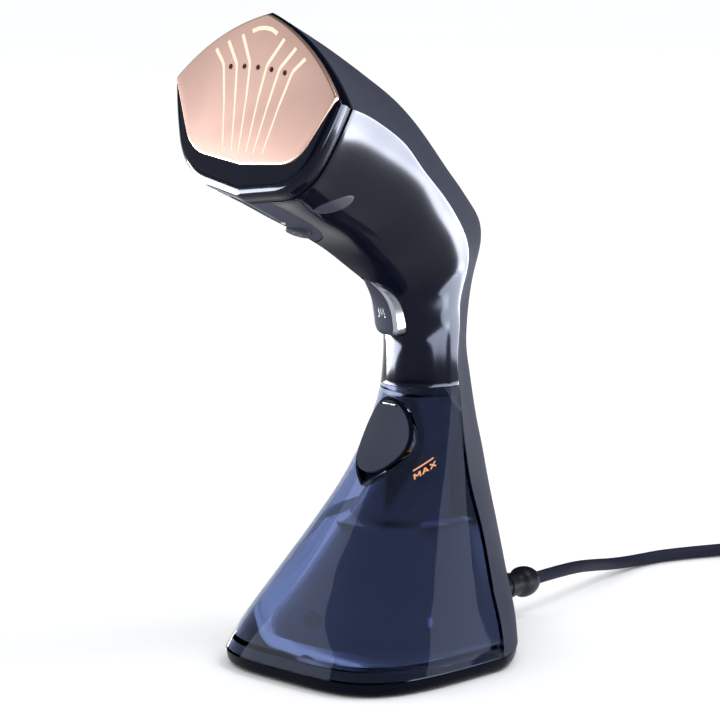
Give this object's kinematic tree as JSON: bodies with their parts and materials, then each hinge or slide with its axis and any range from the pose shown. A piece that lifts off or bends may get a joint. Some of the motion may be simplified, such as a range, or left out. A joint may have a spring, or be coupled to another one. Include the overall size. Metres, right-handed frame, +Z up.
{
  "type": "garment steamer",
  "caption": "Hand-held garment steamer: heated pentagonal steam plate on a bent head, pistol neck with trigger, and a clear water tank that forms the standing base.",
  "frame": {"origin": "on the floor under the feet, at the middle of the body's overall width and depth, cord left out", "axes": "+Z up from the feet to the head; -Y towards the heated plate; +Y towards the cord outlet; +X across the body"},
  "size_m": [0.1978, 0.4761, 0.3505],
  "materials": {
    "rose_plate": "satin rose-gold anodised soleplate",
    "gloss_navy": "high-gloss near-black navy moulding",
    "matte_slate": "matte slate blue moulding",
    "dark_plastic": "satin dark navy moulding",
    "cast_aluminium": "plain casting",
    "steel": "plain bright steel",
    "brass": "turned brass",
    "mica_sheet": "mineral heat-shield sheet, matte",
    "board_green": "laminate with solder mask",
    "silicone": "translucent grey silicone",
    "clear_tank": "clear deep-blue moulding, see-through",
    "black_rubber": "matte black rubber",
    "copper_winding": "enamelled copper winding",
    "cord_sheath": "matte dark navy cord sheath"
  },
  "bodies": {
    "housing": {"base_plate": "dark_plastic", "base_screw_front_left": "steel", "base_screw_front_right": "steel", "base_screw_rear_left": "steel", "base_screw_rear_right": "steel", "bezel": "gloss_navy", "board_capacitor": "steel", "board_relay": "dark_plastic", "circuit_board": "board_green", "collar": "dark_plastic", "control_panel": "dark_plastic", "cord": "cord_sheath", "cord_bush": "dark_plastic", "cord_coil": "cord_sheath", "cord_tail": "cord_sheath", "delivery_tube": "silicone", "door_pin": "steel", "filler_cup": "dark_plastic", "foot_front_left": "black_rubber", "foot_front_right": "black_rubber", "foot_rear_left": "black_rubber", "foot_rear_right": "black_rubber", "front_shell": "gloss_navy", "heat_shield": "mica_sheet", "heater_element": "steel", "inlet_nozzle": "brass", "inlet_tube": "silicone", "inner_column": "dark_plastic", "plug_body": "black_rubber", "plug_pin_left": "brass", "plug_pin_right": "brass", "power_light": "silicone", "power_switch": "dark_plastic", "pump_body": "dark_plastic", "pump_bracket": "steel", "pump_coil": "copper_winding", "rear_cover": "matte_slate", "shield_post_left": "steel", "shield_post_right": "steel", "soleplate": "rose_plate", "steam_chamber": "cast_aluminium", "steam_switch": "dark_plastic", "tank_outlet": "black_rubber", "terminal_block": "silicone", "thermal_fuse": "brass", "thermostat": "dark_plastic", "trigger_bracket": "steel", "trigger_pin": "steel", "trigger_spring": "steel", "water_tank": "clear_tank"},
    "trigger": {"steam_trigger": "matte_slate"},
    "plunger": {"switch_plunger": "silicone"},
    "button": {"power_button": "matte_slate"},
    "door": {"fill_door": "matte_slate", "door_seal": "silicone"},
    "swivel": {"cord_swivel": "dark_plastic"}
  },
  "joints": [
    {"name": "trigger_hinge", "type": "hinge", "parent": "housing", "child": "trigger", "pos_m": [0, -0.00025, 0.202], "axis": [1, 0, 0], "range_deg": [0, 6], "stiffness_Nm_per_rad": 0.3, "springref_deg": -2.86},
    {"name": "plunger_slide", "type": "slide", "parent": "housing", "child": "plunger", "axis": [0, 1, 0], "range_m": [0, 0.0022]},
    {"name": "power_button_press", "type": "slide", "parent": "housing", "child": "button", "axis": [0, 0.4924, 0.8704], "range_m": [0, 0.0008], "stiffness_N_per_m": 1200, "springref_m": -0.0003},
    {"name": "fill_door_hinge", "type": "hinge", "parent": "housing", "child": "door", "pos_m": [0, -0.00239, 0.13678], "axis": [-1, 0, 0], "range_deg": [0, 95]},
    {"name": "cord_swivel_turn", "type": "hinge", "parent": "housing", "child": "swivel", "pos_m": [0, 0.07425, 0.02], "axis": [0, 1, 0], "range_deg": [-180, 180]}
  ],
  "couplings": [
    {"joint": "plunger_slide", "follows": "trigger_hinge", "m_per_rad": 0.021}
  ]
}
